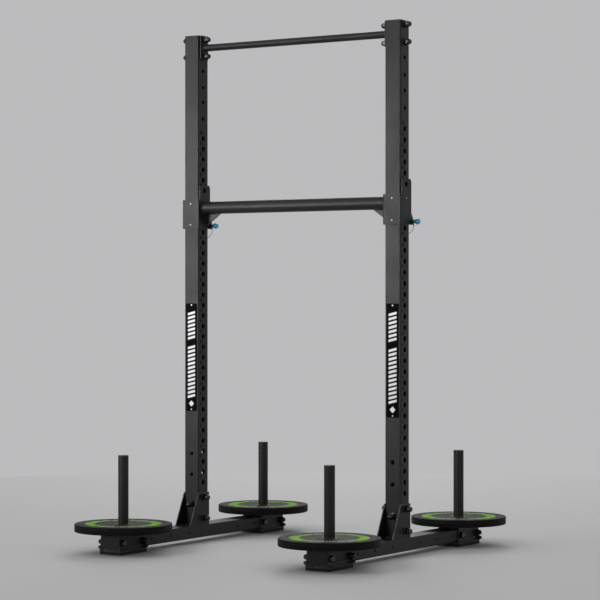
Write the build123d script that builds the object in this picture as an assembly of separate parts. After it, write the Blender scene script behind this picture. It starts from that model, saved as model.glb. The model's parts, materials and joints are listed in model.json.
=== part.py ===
from build123d import *
from collections import namedtuple
import math
import os

# Plate-loaded yoke with a pull-up bar. Millimetres.
# +X runs along the crossbar, +Y along the floor runners, +Z up.
# The origin is on the floor, midway between the uprights and between the loading posts.

# ---------------------------------------------------------------- driving dimensions
UPRIGHT_SPREAD = 1120       # between the centres of the two uprights, along X
POST_PITCH = 1150           # between the centres of two loading posts, along Y
UPRIGHT_TOP = 2430          # top of the upright's cap above the floor
UPRIGHT_SIZE = 80           # square tube
UPRIGHT_WALL = 3
UPRIGHT_CORNER = 5
CAP_LIP = 4
CAP_PLUG_WALL = 4
CAP_PLUG_DEPTH = 5
CAP_CHAMFER = 1.2

HOLE_FIRST = 287            # height of the lowest adjusting hole
HOLE_PITCH = 50
HOLE_COUNT = 34
HOLE_D = 25                 # adjusting holes, for a 24 mm pin
BOLT_HOLE_D = 19            # through bolts of the uprights, 18 mm
PULL_UP_PAIR_Z = (2071, 2221, 2371)     # middles of the pull-up bar's bolt-hole pairs
PAIR_SPACING = 80
FRONT_HOLE_Z = (327, 427)   # spare holes through the front and back faces

RUNNER_WIDTH = 100
RUNNER_HEIGHT = 60
RUNNER_WALL = 4
RUNNER_CORNER = 6
RUNNER_HOLE_D = 11
RUNNER_HOLE_FIRST = 125     # from the middle of the runner to the nearest small hole
RUNNER_HOLE_COUNT = 3       # towards each end
RUNNER_HOLE_PITCH = 150
PAD_THICK = 15              # skid pad
FOOT_THICK = 8              # base of the foot channel
FOOT_LIP = 14
FOOT_CORNER = 5
PAD_CHAMFER = 3
RUNNER_BOTTOM = PAD_THICK + FOOT_THICK + 2

BRACKET_PLATE = 4
BRACKET_TOP = 239
BRACKET_NOSE = 72           # how far the bracket's foot reaches past its top edge
BRACKET_SIDE_BOLT_Z = (116, 216)
BRACKET_FRONT_BOLT_Z = 183

SADDLE_LENGTH = 200
SADDLE_WALL = 5
SADDLE_CORNER = 4
SADDLE_BOLT_Y = 75          # cross bolts, each side of the post
SADDLE_BOLT_HOLE_D = 17
FOOT_SCREW_Y = 80
FOOT_PLATE_MARGIN = 2       # how far the foot channel runs past the saddle's ends

POST_D = 48
POST_WALL = 3.2
POST_TOP = 449
POST_SPIGOT_D = 47          # turned down where it is welded into its collar
POST_CAP_PLUG = 8
COLLAR_D = 96
COLLAR_CHAMFER = 1
PLATE_SEAT = 101            # height at which the lowest weight plate rests

PLATE_D = 450
PLATE_THICK = 35
PLATE_BORE = 50.8
PLATE_EDGE = 3              # rounding of the rim
RING_OUTER_D = 352
RING_INNER_D = 264
RING_DEPTH = 4
RING_RECESS = 0.8
FACE_RECESS = 3
HUB_D = 66
HUB_CHAMFER = 2

PULL_UP_D = 34
PULL_UP_WALL = 3
FLANGE_SIZE = (8, 60, 118)
FLANGE_CORNER = 7

CROSSBAR_D = 60
CROSSBAR_WALL = 4
CROSSBAR_Z = 1604
SLEEVE_BOTTOM = 1504
SLEEVE_TOP = 1642
SLEEVE_HALF = 48            # half the sleeve's outer width
SLEEVE_PLATE = 5
SLEEVE_BACK = 46
SLEEVE_CORNER = 5
EAR_TOP = 1712
EAR_FRONT = -37
EAR_FRONT_CHAMFER = 3
EAR_BACK_CHAMFER = (9, 11)
FLARE_RISE = (6, 22, 53)    # the flare's corners above the sleeve's bottom
FLARE_CHAMFER = 6
EAR_HOLE_Z = HOLE_FIRST + 28 * HOLE_PITCH
FLARE_BACK = 66
LINER_FRONT = 1.2
LINER_SIDE = 2.6
LINER_MARGIN = 3            # the liner stops short of the sleeve's top and bottom
LINER_SCREW_Z = (1523, 1623)
LINER_SCREW_D = 4
LINER_SCREW_HEAD = (7.5, 2)
GUSSET_PLATE = 8
GUSSET_Y = 14
GUSSET_REACH = 84
GUSSET_TOE = 6
GUSSET_BOTTOM = 1520

PIN_Y = 52
PIN_Z = 1519
PIN_D = 14
PIN_RUNNING_CLEARANCE = 0.08
PIN_TAIL = 56               # from the upright's centre to the pin's tip
KNOB_D = 29
KNOB_X = 76
LANYARD_D = 2.4

NAME_PLATE_WIDTH = 64
NAME_PLATE_Z = (630, 1146)
NAME_PLATE_THICK = 0.8
RIVET_D = 4
RIVET_HEAD_D = 7
RIVET_HEAD = 0.6
RIVET_INSET = 8

# ---------------------------------------------------------------- worked out from them
HALF_SPREAD = UPRIGHT_SPREAD / 2
HALF_TUBE = UPRIGHT_SIZE / 2
RUNNER_TOP = RUNNER_BOTTOM + RUNNER_HEIGHT
RUNNER_MIDDLE = RUNNER_BOTTOM + RUNNER_HEIGHT / 2
SADDLE_HALF = RUNNER_WIDTH / 2 + SADDLE_WALL
SADDLE_TOP = RUNNER_TOP + SADDLE_WALL
SADDLE_FOOT = PAD_THICK + FOOT_THICK
POST_SHOULDER = PLATE_SEAT + 0.5        # just clear of the collar
FOOT_HALF = SADDLE_HALF + SADDLE_WALL
RUNNER_HALF_LENGTH = POST_PITCH / 2 + SADDLE_LENGTH / 2 - SADDLE_WALL
FLANGE_INNER_X = HALF_SPREAD - HALF_TUBE - FLANGE_SIZE[0]
SLEEVE_INNER_X = HALF_SPREAD - SLEEVE_HALF
SIDES = {"left": -1, "right": 1}
CORNERS = {"front_left": (-1, -1), "front_right": (1, -1), "back_left": (-1, 1), "back_right": (1, 1)}

os.makedirs("parts", exist_ok=True)


def write(name, shape):
    export_step(shape, f"parts/{name}.step")


def block(x, y, z):
    """A box between two limits along each axis."""
    size = (x[1] - x[0], y[1] - y[0], z[1] - z[0])
    middle = ((x[0] + x[1]) / 2, (y[0] + y[1]) / 2, (z[0] + z[1]) / 2)
    return Pos(*middle) * Box(*size)


def rod_x(diameter, x, y, z):
    """A cylinder along X between the two limits in x."""
    middle = Pos((x[0] + x[1]) / 2, y, z)
    return middle * Rot(0, 90, 0) * Cylinder(diameter / 2, x[1] - x[0])


def rod_y(diameter, x, y, z):
    """A cylinder along Y between the two limits in y."""
    middle = Pos(x, (y[0] + y[1]) / 2, z)
    return middle * Rot(90, 0, 0) * Cylinder(diameter / 2, y[1] - y[0])


def rod_z(diameter, x, y, z):
    """A cylinder along Z between the two limits in z."""
    return Pos(x, y, (z[0] + z[1]) / 2) * Cylinder(diameter / 2, z[1] - z[0])


def square_tube(width, depth, wall, corner, length):
    """A tube along Z from z = 0, with rounded corners inside and out."""
    outer = RectangleRounded(width, depth, corner)
    inner = RectangleRounded(width - 2 * wall, depth - 2 * wall, corner - wall + 1)
    return extrude(outer - inner, length)


def group(solids):
    return Compound(children=list(solids))


# ---------------------------------------------------------------- fasteners
Nut = namedtuple("Nut", "bore flats hex_height dome_r height washer_d")
FRAME_NUT = Nut(bore=18, flats=27, hex_height=15, dome_r=13, height=32, washer_d=34)
SADDLE_NUT = Nut(bore=16, flats=24, hex_height=12, dome_r=11.5, height=26, washer_d=30)
WASHER_THICK = 3
BORE_CLEARANCE = 1          # a bolt's hole is this much wider than the bolt
NUT_BORE_DEPTH = 19
STUD_IN_NUT = 16            # how far a stud or bolt enters a cap nut
BOLT_HEAD_HEIGHT = 10
HEX_CHAMFER_ANGLE = 30


def upward_cylinder(radius, height):
    """A cylinder standing on z = 0."""
    return Cylinder(radius, height, align=(Align.CENTER, Align.CENTER, Align.MIN))


def hexagon(flats, height):
    """A hexagonal prism from z = 0 with its upper corners turned off."""
    radius = flats / math.sqrt(3)
    prism = extrude(RegularPolygon(radius, 6), height)
    inset = radius - flats / 2
    drop = inset * math.tan(math.radians(HEX_CHAMFER_ANGLE))
    cutter = upward_cylinder(radius + 0.01, height)
    cutter = chamfer(cutter.edges().sort_by(Axis.Z)[-1], length=drop, length2=inset)
    return prism & cutter


def cap_nut(nut):
    """A domed nut standing on z = 0, with its blind bore open below."""
    dome_base = nut.height - nut.dome_r
    neck = upward_cylinder(nut.dome_r, dome_base)
    dome = Pos(0, 0, dome_base) * Sphere(nut.dome_r)
    return hexagon(nut.flats, nut.hex_height) + neck + dome - upward_cylinder(nut.bore / 2, NUT_BORE_DEPTH)


def washer(nut):
    ring = Circle(nut.washer_d / 2) - Circle((nut.bore + BORE_CLEARANCE) / 2)
    return extrude(ring, WASHER_THICK)


def hex_bolt(nut, grip):
    """A bolt whose head's seat is at z = 0, with its shank down to the nut."""
    length = grip + 2 * WASHER_THICK + STUD_IN_NUT
    return hexagon(nut.flats, BOLT_HEAD_HEIGHT) + rod_z(nut.bore, 0, 0, (-length, 0))


def outward(axis, sign, along, across, z):
    """A placement on a face: local +Z points out of the face, along the axis's sign."""
    if axis == "x":
        return Pos(along, across, z) * Rot(0, 90 * sign, 0)
    return Pos(across, along, z) * Rot(-90 * sign, 0, 0)


# Each through bolt of the uprights: axis, its two seat faces, the other place, height.
def upright_bolts(sign):
    centre = sign * HALF_SPREAD
    bracket_outside = HALF_TUBE + BRACKET_PLATE
    bolts = []
    for z in BRACKET_SIDE_BOLT_Z:
        bolts.append(("x", centre - bracket_outside, centre + bracket_outside, 0, z))
    bolts.append(("y", -HALF_TUBE, bracket_outside, centre, BRACKET_FRONT_BOLT_Z))
    inner = centre - sign * (HALF_TUBE + FLANGE_SIZE[0])
    outer = centre + sign * HALF_TUBE
    for offset in (-PAIR_SPACING / 2, PAIR_SPACING / 2):
        z = PULL_UP_PAIR_Z[-1] + offset
        bolts.append(("x", min(inner, outer), max(inner, outer), 0, z))
    return bolts


studs = []
washers = []
cap_nuts = []
for sign in SIDES.values():
    for axis, low, high, across, z in upright_bolts(sign):
        reach = WASHER_THICK + STUD_IN_NUT
        limits = (low - reach, high + reach)
        if axis == "x":
            studs.append(rod_x(FRAME_NUT.bore, limits, across, z))
        else:
            studs.append(rod_y(FRAME_NUT.bore, across, limits, z))
        for face, direction in ((low, -1), (high, 1)):
            washers.append(outward(axis, direction, face, across, z) * washer(FRAME_NUT))
            seat = face + direction * WASHER_THICK
            cap_nuts.append(outward(axis, direction, seat, across, z) * cap_nut(FRAME_NUT))

# Cross bolts of the saddles: the two bolts of a saddle point opposite ways.
saddle_bolts = []
for side, end in CORNERS.values():
    for direction in (-1, 1):
        centre = side * HALF_SPREAD
        y = end * POST_PITCH / 2 + direction * SADDLE_BOLT_Y
        nut_face = centre + direction * SADDLE_HALF
        head_face = centre - direction * SADDLE_HALF
        washers.append(outward("x", direction, nut_face, y, RUNNER_MIDDLE) * washer(SADDLE_NUT))
        washers.append(outward("x", -direction, head_face, y, RUNNER_MIDDLE) * washer(SADDLE_NUT))
        nut_seat = nut_face + direction * WASHER_THICK
        head_seat = head_face - direction * WASHER_THICK
        cap_nuts.append(outward("x", direction, nut_seat, y, RUNNER_MIDDLE) * cap_nut(SADDLE_NUT))
        bolt = hex_bolt(SADDLE_NUT, 2 * SADDLE_HALF)
        saddle_bolts.append(outward("x", -direction, head_seat, y, RUNNER_MIDDLE) * bolt)

write("upright_studs", group(studs))
write("flat_washers", group(washers))
write("cap_nuts", group(cap_nuts))
write("saddle_bolts", group(saddle_bolts))

# Domed flange screws that hold the foot channels, one on each side at opposite ends.
FOOT_SCREW_D = 12
FOOT_SCREW_Z = SADDLE_FOOT + FOOT_LIP / 2
FOOT_SCREW_FLANGE = (24, 2.5)
FOOT_SCREW_FLATS = 18
FOOT_SCREW_HEX_HEIGHT = 9
FOOT_SCREW_DOME_R = 8
FOOT_SCREW_HEAD = 22


def foot_screw():
    flange_d, flange_thick = FOOT_SCREW_FLANGE
    dome_base = FOOT_SCREW_HEAD - FOOT_SCREW_DOME_R
    flange = upward_cylinder(flange_d / 2, flange_thick)
    hexed = Pos(0, 0, flange_thick) * hexagon(FOOT_SCREW_FLATS, FOOT_SCREW_HEX_HEIGHT)
    neck = rod_z(2 * FOOT_SCREW_DOME_R, 0, 0, (flange_thick, dome_base))
    dome = Pos(0, 0, dome_base) * Sphere(FOOT_SCREW_DOME_R)
    shank = rod_z(FOOT_SCREW_D, 0, 0, (-2 * SADDLE_WALL, 0))
    return flange + hexed + neck + dome + shank


foot_screws = []
for side, end in CORNERS.values():
    for direction in (-1, 1):
        face = side * HALF_SPREAD + direction * FOOT_HALF
        y = end * POST_PITCH / 2 + direction * FOOT_SCREW_Y
        foot_screws.append(outward("x", direction, face, y, FOOT_SCREW_Z) * foot_screw())
write("foot_screws", group(foot_screws))


# ---------------------------------------------------------------- uprights
def upright(centre):
    length = UPRIGHT_TOP - CAP_LIP - RUNNER_TOP
    tube = square_tube(UPRIGHT_SIZE, UPRIGHT_SIZE, UPRIGHT_WALL, UPRIGHT_CORNER, length)
    tube = Pos(centre, 0, RUNNER_TOP) * tube
    through = (centre - HALF_TUBE - 1, centre + HALF_TUBE + 1)
    cutters = []
    for number in range(HOLE_COUNT):
        cutters.append(rod_x(HOLE_D, through, 0, HOLE_FIRST + number * HOLE_PITCH))
    bolt_heights = list(BRACKET_SIDE_BOLT_Z)
    for middle in PULL_UP_PAIR_Z:
        bolt_heights += [middle - PAIR_SPACING / 2, middle + PAIR_SPACING / 2]
    for z in bolt_heights:
        cutters.append(rod_x(BOLT_HOLE_D, through, 0, z))
    for z in (BRACKET_FRONT_BOLT_Z,) + FRONT_HOLE_Z:
        cutters.append(rod_y(BOLT_HOLE_D, centre, (-HALF_TUBE - 1, HALF_TUBE + 1), z))
    for z in (NAME_PLATE_Z[0] + RIVET_INSET, NAME_PLATE_Z[1] - RIVET_INSET):
        cutters.append(rod_y(RIVET_D, centre, (-HALF_TUBE - 1, -HALF_TUBE + UPRIGHT_WALL + 1), z))
    return tube - cutters


def upright_cap(centre):
    """A plastic cap whose plug stands inside the tube."""
    lip = extrude(RectangleRounded(UPRIGHT_SIZE, UPRIGHT_SIZE, UPRIGHT_CORNER), CAP_LIP)
    lip = chamfer(lip.faces().sort_by(Axis.Z)[-1].edges(), length=CAP_CHAMFER)
    plug_size = UPRIGHT_SIZE - 2 * UPRIGHT_WALL
    plug_inside = plug_size - 2 * CAP_PLUG_WALL
    plug = RectangleRounded(plug_size, plug_size, 3) - RectangleRounded(plug_inside, plug_inside, 2)
    plug = extrude(plug, -CAP_PLUG_DEPTH)
    return Pos(centre, 0, UPRIGHT_TOP - CAP_LIP) * (lip + plug)


def name_plate(centre):
    half = NAME_PLATE_WIDTH / 2
    plate = block((centre - half, centre + half), (-HALF_TUBE - NAME_PLATE_THICK, -HALF_TUBE), NAME_PLATE_Z)
    for z in (NAME_PLATE_Z[0] + RIVET_INSET, NAME_PLATE_Z[1] - RIVET_INSET):
        plate -= rod_y(RIVET_D, centre, (-HALF_TUBE - 2, -HALF_TUBE + 1), z)
    return plate


def rivet(centre, z):
    front = -HALF_TUBE - NAME_PLATE_THICK
    head = rod_y(RIVET_HEAD_D, centre, (front - RIVET_HEAD, front), z)
    return head + rod_y(RIVET_D, centre, (front, -HALF_TUBE + UPRIGHT_WALL), z)


upright_caps = []
rivets = []
for side, sign in SIDES.items():
    centre = sign * HALF_SPREAD
    write(f"upright_{side}", upright(centre))
    write(f"name_plate_{side}", name_plate(centre))
    upright_caps.append(upright_cap(centre))
    for z in (NAME_PLATE_Z[0] + RIVET_INSET, NAME_PLATE_Z[1] - RIVET_INSET):
        rivets.append(rivet(centre, z))
write("upright_caps", group(upright_caps))
write("name_plate_rivets", group(rivets))


# ---------------------------------------------------------------- floor runners
def runner(centre):
    """A flat tube along Y, open where bolts cross it."""
    tube = square_tube(RUNNER_HEIGHT, RUNNER_WIDTH, RUNNER_WALL, RUNNER_CORNER, 2 * RUNNER_HALF_LENGTH)
    tube = Pos(centre, RUNNER_HALF_LENGTH, RUNNER_MIDDLE) * Rot(90, 0, 0) * Rot(0, 0, 90) * tube
    through = (centre - RUNNER_WIDTH, centre + RUNNER_WIDTH)
    cutters = []
    for end in (-1, 1):
        for number in range(RUNNER_HOLE_COUNT):
            y = end * (RUNNER_HOLE_FIRST + number * RUNNER_HOLE_PITCH)
            cutters.append(rod_x(RUNNER_HOLE_D, through, y, RUNNER_MIDDLE))
        for direction in (-1, 1):
            y = end * POST_PITCH / 2 + direction * SADDLE_BOLT_Y
            cutters.append(rod_x(SADDLE_BOLT_HOLE_D, through, y, RUNNER_MIDDLE))
    return tube - cutters


def base_bracket(centre):
    """A folded bracket round the upright's foot: two sloping cheeks and a back."""
    nose = -HALF_TUBE - 1
    cheek_outline = Polyline(
        (HALF_TUBE + BRACKET_PLATE, RUNNER_TOP),
        (HALF_TUBE + BRACKET_PLATE, BRACKET_TOP),
        (nose, BRACKET_TOP),
        (nose - BRACKET_NOSE, RUNNER_TOP),
        close=True,
    )
    half = HALF_TUBE + BRACKET_PLATE
    cheeks = extrude(Plane.YZ * make_face(cheek_outline), half, both=True)
    well = (-HALF_TUBE, HALF_TUBE)
    hollow = block(well, (nose - BRACKET_NOSE - 1, HALF_TUBE), (RUNNER_TOP - 1, BRACKET_TOP + 1))
    bracket = Pos(centre, 0, 0) * (cheeks - hollow)
    for z in BRACKET_SIDE_BOLT_Z:
        bracket -= rod_x(BOLT_HOLE_D, (centre - half - 1, centre + half + 1), 0, z)
    return bracket - rod_y(BOLT_HOLE_D, centre, (HALF_TUBE - 1, half + 1), BRACKET_FRONT_BOLT_Z)


for side, sign in SIDES.items():
    write(f"runner_{side}", runner(sign * HALF_SPREAD))
    write(f"base_bracket_{side}", base_bracket(sign * HALF_SPREAD))


# ---------------------------------------------------------------- loading posts on their saddles
def saddle(x, y, end):
    """A cap over the runner's end, with the post's collar welded on top."""
    near = y - end * SADDLE_LENGTH / 2
    far = y + end * SADDLE_LENGTH / 2
    length = (min(near, far), max(near, far))
    shell = block((x - SADDLE_HALF, x + SADDLE_HALF), length, (SADDLE_FOOT, SADDLE_TOP))
    shell = fillet(shell.edges().filter_by(Axis.Z), SADDLE_CORNER)
    inside_far = far - end * SADDLE_WALL
    inside_near = near - end
    hollow_length = (min(inside_near, inside_far), max(inside_near, inside_far))
    half = RUNNER_WIDTH / 2
    shell -= block((x - half, x + half), hollow_length, (SADDLE_FOOT - 1, RUNNER_TOP))
    for direction in (-1, 1):
        through = (x - SADDLE_HALF - 1, x + SADDLE_HALF + 1)
        shell -= rod_x(SADDLE_BOLT_HOLE_D, through, y + direction * SADDLE_BOLT_Y, RUNNER_MIDDLE)
        limits = sorted((x + direction * (half - 1), x + direction * (SADDLE_HALF + 1)))
        shell -= rod_x(FOOT_SCREW_D, limits, y + direction * FOOT_SCREW_Y, FOOT_SCREW_Z)
    collar = rod_z(COLLAR_D, x, y, (SADDLE_TOP, PLATE_SEAT))
    collar = chamfer(collar.faces().sort_by(Axis.Z)[-1].edges(), length=COLLAR_CHAMFER)
    collar -= rod_z(POST_SPIGOT_D, x, y, (SADDLE_TOP, PLATE_SEAT + 1))
    return shell + collar


def foot_channel(x, y):
    """A shallow channel under the saddle: a thick base and two lips."""
    half_length = SADDLE_LENGTH / 2 + FOOT_PLATE_MARGIN
    length = (y - half_length, y + half_length)
    channel = block((x - FOOT_HALF, x + FOOT_HALF), length, (PAD_THICK, SADDLE_FOOT + FOOT_LIP))
    channel = fillet(channel.edges().filter_by(Axis.Z), FOOT_CORNER)
    channel -= block(
        (x - SADDLE_HALF, x + SADDLE_HALF),
        (y - half_length - 1, y + half_length + 1),
        (SADDLE_FOOT, SADDLE_FOOT + FOOT_LIP + 1),
    )
    for direction in (-1, 1):
        limits = sorted((x + direction * (SADDLE_HALF - 1), x + direction * (FOOT_HALF + 1)))
        channel -= rod_x(FOOT_SCREW_D, limits, y + direction * FOOT_SCREW_Y, FOOT_SCREW_Z)
    return channel


def skid_pad(x, y):
    half_length = SADDLE_LENGTH / 2 + FOOT_PLATE_MARGIN
    pad = block((x - FOOT_HALF, x + FOOT_HALF), (y - half_length, y + half_length), (0, PAD_THICK))
    pad = fillet(pad.edges().filter_by(Axis.Z), FOOT_CORNER)
    return chamfer(pad.faces().sort_by(Axis.Z)[0].edges(), length=PAD_CHAMFER)


def post(x, y):
    """The post's tube, turned down to a spigot inside the collar."""
    tube = rod_z(POST_SPIGOT_D, x, y, (SADDLE_TOP, POST_SHOULDER))
    tube += rod_z(POST_D, x, y, (POST_SHOULDER, POST_TOP - CAP_LIP))
    return tube - rod_z(POST_D - 2 * POST_WALL, x, y, (SADDLE_TOP - 1, POST_TOP))


def post_cap(x, y):
    lip = rod_z(POST_D, x, y, (POST_TOP - CAP_LIP, POST_TOP))
    lip = chamfer(lip.faces().sort_by(Axis.Z)[-1].edges(), length=CAP_CHAMFER)
    lip_bottom = POST_TOP - CAP_LIP
    return lip + rod_z(POST_D - 2 * POST_WALL, x, y, (lip_bottom - POST_CAP_PLUG, lip_bottom))


# ---------------------------------------------------------------- weight plates
def plate_rubber(x, y):
    """The rubber disc: raised rim, a groove for the coloured ring, a dished face."""
    half = PLATE_THICK / 2
    body = Cylinder(PLATE_D / 2, PLATE_THICK)
    rims = body.edges().filter_by(GeomType.CIRCLE)
    body = fillet(rims, PLATE_EDGE)
    groove = Cylinder(RING_OUTER_D / 2, RING_DEPTH) - Cylinder(RING_INNER_D / 2, RING_DEPTH)
    dish = Cylinder(RING_INNER_D / 2, FACE_RECESS)
    body -= Pos(0, 0, half - RING_DEPTH / 2) * groove
    for face in (-1, 1):
        body -= Pos(0, 0, face * (half - FACE_RECESS / 2)) * dish
    body -= Cylinder(HUB_D / 2, PLATE_THICK)
    return Pos(x, y, PLATE_SEAT + half) * body


def plate_ring(x, y):
    """The flat coloured ring let into the upper face."""
    thick = RING_DEPTH - RING_RECESS
    ring = Cylinder(RING_OUTER_D / 2, thick) - Cylinder(RING_INNER_D / 2, thick)
    return Pos(x, y, PLATE_SEAT + PLATE_THICK - RING_RECESS - thick / 2) * ring


def plate_hub(x, y):
    """The steel hub with its bore, a little proud of the dished face."""
    hub = Cylinder(HUB_D / 2, PLATE_THICK - 1)
    hub = chamfer(hub.edges().filter_by(GeomType.CIRCLE), length=HUB_CHAMFER)
    hub -= Cylinder(PLATE_BORE / 2, PLATE_THICK)
    return Pos(x, y, PLATE_SEAT + (PLATE_THICK - 1) / 2) * hub


post_caps = []
for corner, (side, end) in CORNERS.items():
    x = side * HALF_SPREAD
    y = end * POST_PITCH / 2
    write(f"saddle_{corner}", saddle(x, y, end))
    write(f"foot_channel_{corner}", foot_channel(x, y))
    write(f"skid_pad_{corner}", skid_pad(x, y))
    write(f"post_{corner}", post(x, y))
    write(f"plate_rubber_{corner}", plate_rubber(x, y))
    write(f"plate_ring_{corner}", plate_ring(x, y))
    write(f"plate_hub_{corner}", plate_hub(x, y))
    post_caps.append(post_cap(x, y))
write("post_caps", group(post_caps))


# ---------------------------------------------------------------- pull-up bar
def flange(sign):
    """The bar's end plate, against the inner face of an upright."""
    plate = RectangleRounded(FLANGE_SIZE[1], FLANGE_SIZE[2], FLANGE_CORNER)
    for offset in (-PAIR_SPACING / 2, PAIR_SPACING / 2):
        plate -= Pos(0, offset) * Circle(BOLT_HOLE_D / 2)
    plate = extrude(Plane.YZ * plate, FLANGE_SIZE[0] / 2, both=True)
    return Pos(sign * (FLANGE_INNER_X + FLANGE_SIZE[0] / 2), 0, PULL_UP_PAIR_Z[-1]) * plate


pull_up_ends = (-FLANGE_INNER_X, FLANGE_INNER_X)
pull_up_bar = rod_x(PULL_UP_D, pull_up_ends, 0, PULL_UP_PAIR_Z[-1])
pull_up_bar -= rod_x(PULL_UP_D - 2 * PULL_UP_WALL, pull_up_ends, 0, PULL_UP_PAIR_Z[-1])
write("pull_up_bar", pull_up_bar)
for side, sign in SIDES.items():
    write(f"pull_up_flange_{side}", flange(sign))


# ---------------------------------------------------------------- crossbar carriage
def sleeve(centre):
    """A plate folded round three sides of the upright: flares behind, an ear above the +X cheek."""
    flare_low, flare_high, flare_root = (SLEEVE_BOTTOM + rise for rise in FLARE_RISE)
    cheek_outline = Polyline(
        (-SLEEVE_HALF, SLEEVE_BOTTOM),
        (-SLEEVE_HALF, SLEEVE_TOP),
        (EAR_FRONT, SLEEVE_TOP),
        (EAR_FRONT, EAR_TOP - EAR_FRONT_CHAMFER),
        (EAR_FRONT + EAR_FRONT_CHAMFER, EAR_TOP),
        (SLEEVE_BACK - EAR_BACK_CHAMFER[0], EAR_TOP),
        (SLEEVE_BACK, EAR_TOP - EAR_BACK_CHAMFER[1]),
        (SLEEVE_BACK, flare_root),
        (FLARE_BACK, flare_high),
        (FLARE_BACK, flare_low),
        (FLARE_BACK - FLARE_CHAMFER, SLEEVE_BOTTOM),
        close=True,
    )
    body = extrude(Plane.YZ * make_face(cheek_outline), SLEEVE_HALF, both=True)
    front_edges = body.edges().filter_by(Axis.Z).group_by(Axis.Y)[0]
    body = fillet(front_edges, SLEEVE_CORNER)
    inner = SLEEVE_HALF - SLEEVE_PLATE
    body -= block((-inner, inner), (-inner, FLARE_BACK + 1), (SLEEVE_BOTTOM - 1, EAR_TOP + 1))
    body -= block((-SLEEVE_HALF - 1, 0), (EAR_FRONT - 1, SLEEVE_BACK + 1), (SLEEVE_TOP, EAR_TOP + 1))
    through = (-SLEEVE_HALF - 1, SLEEVE_HALF + 1)
    body -= rod_x(HOLE_D, through, 0, EAR_HOLE_Z)
    body -= rod_x(PIN_D + 2 * PIN_RUNNING_CLEARANCE, through, PIN_Y, PIN_Z)
    for z in LINER_SCREW_Z:
        body -= rod_y(LINER_SCREW_D, 0, (-SLEEVE_HALF - 1, -inner + 1), z)
    body -= rod_x(LINER_SCREW_D, through, 0, LINER_SCREW_Z[1])
    return Pos(centre, 0, 0) * body


def sleeve_liner(centre):
    """A slippery sheet inside the sleeve, thin in front so that it clears the name plate."""
    outer = SLEEVE_HALF - SLEEVE_PLATE
    inner = outer - LINER_SIDE
    height = (SLEEVE_BOTTOM + LINER_MARGIN, SLEEVE_TOP - LINER_MARGIN)
    liner = block((-outer, outer), (-outer, HALF_TUBE), height)
    liner -= block((-inner, inner), (-outer + LINER_FRONT, HALF_TUBE + 1), (height[0] - 1, height[1] + 1))
    for z in LINER_SCREW_Z:
        liner -= rod_y(LINER_SCREW_D, 0, (-outer - 1, -outer + LINER_FRONT + 1), z)
    liner -= rod_x(LINER_SCREW_D, (-outer - 1, outer + 1), 0, LINER_SCREW_Z[1])
    return Pos(centre, 0, 0) * liner


def liner_screw(length):
    """A low domed screw whose seat is at z = 0."""
    head_d, head_height = LINER_SCREW_HEAD
    head = upward_cylinder(head_d / 2, head_height)
    head = fillet(head.faces().sort_by(Axis.Z)[-1].edges(), 1.2)
    return head + rod_z(LINER_SCREW_D, 0, 0, (-length, 0))


def gusset(sign):
    """A sloping web between the crossbar's underside and the sleeve."""
    web_outline = Polyline(
        (SLEEVE_INNER_X - GUSSET_REACH, CROSSBAR_Z - CROSSBAR_D / 2),
        (SLEEVE_INNER_X - GUSSET_REACH, CROSSBAR_Z),
        (SLEEVE_INNER_X, CROSSBAR_Z),
        (SLEEVE_INNER_X, GUSSET_BOTTOM),
        (SLEEVE_INNER_X - GUSSET_TOE, GUSSET_BOTTOM),
        close=True,
    )
    web = extrude(Plane.XZ * make_face(web_outline), GUSSET_PLATE / 2, both=True)
    web = Pos(0, GUSSET_Y, 0) * web
    web -= rod_x(CROSSBAR_D, (0, HALF_SPREAD), 0, CROSSBAR_Z)
    below = block((0, HALF_SPREAD), (-SLEEVE_HALF, SLEEVE_HALF), (GUSSET_BOTTOM - 1, CROSSBAR_Z - 5))
    web = web & below
    return web if sign > 0 else mirror(web, about=Plane.YZ)


liner_screws = []
for side, sign in SIDES.items():
    centre = sign * HALF_SPREAD
    write(f"sleeve_{side}", sleeve(centre))
    write(f"sleeve_liner_{side}", sleeve_liner(centre))
    front_screw = liner_screw(SLEEVE_PLATE + LINER_FRONT - 0.2)
    for z in LINER_SCREW_Z:
        liner_screws.append(outward("y", -1, -SLEEVE_HALF, centre, z) * front_screw)
    side_screw = liner_screw(SLEEVE_PLATE + LINER_SIDE - 0.4)
    outer_face = centre + sign * SLEEVE_HALF
    liner_screws.append(outward("x", sign, outer_face, 0, LINER_SCREW_Z[1]) * side_screw)
write("liner_screws", group(liner_screws))

crossbar_ends = (-SLEEVE_INNER_X, SLEEVE_INNER_X)
crossbar = rod_x(CROSSBAR_D, crossbar_ends, 0, CROSSBAR_Z)
crossbar -= rod_x(CROSSBAR_D - 2 * CROSSBAR_WALL, crossbar_ends, 0, CROSSBAR_Z)
write("crossbar", crossbar)
write("crossbar_gussets", group(gusset(sign) for sign in SIDES.values()))


# ---------------------------------------------------------------- lock pins and their lanyards
PIN_COLLAR_D = 20
PIN_COLLAR_X = (SLEEVE_HALF + 0.3, SLEEVE_HALF + 4.3)
PIN_TIP_CHAMFER = 2
EYE_X = (54.5, 57.5)
EYE_D = 16
EYE_HALF_WIDTH = 4
EYE_DROP = 11               # how far the lanyard's eye hangs below the pin's axis
NECK_D = 10
KNOB_SOCKET_STOP = 2        # the neck ends this far short of the knob's centre


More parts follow.
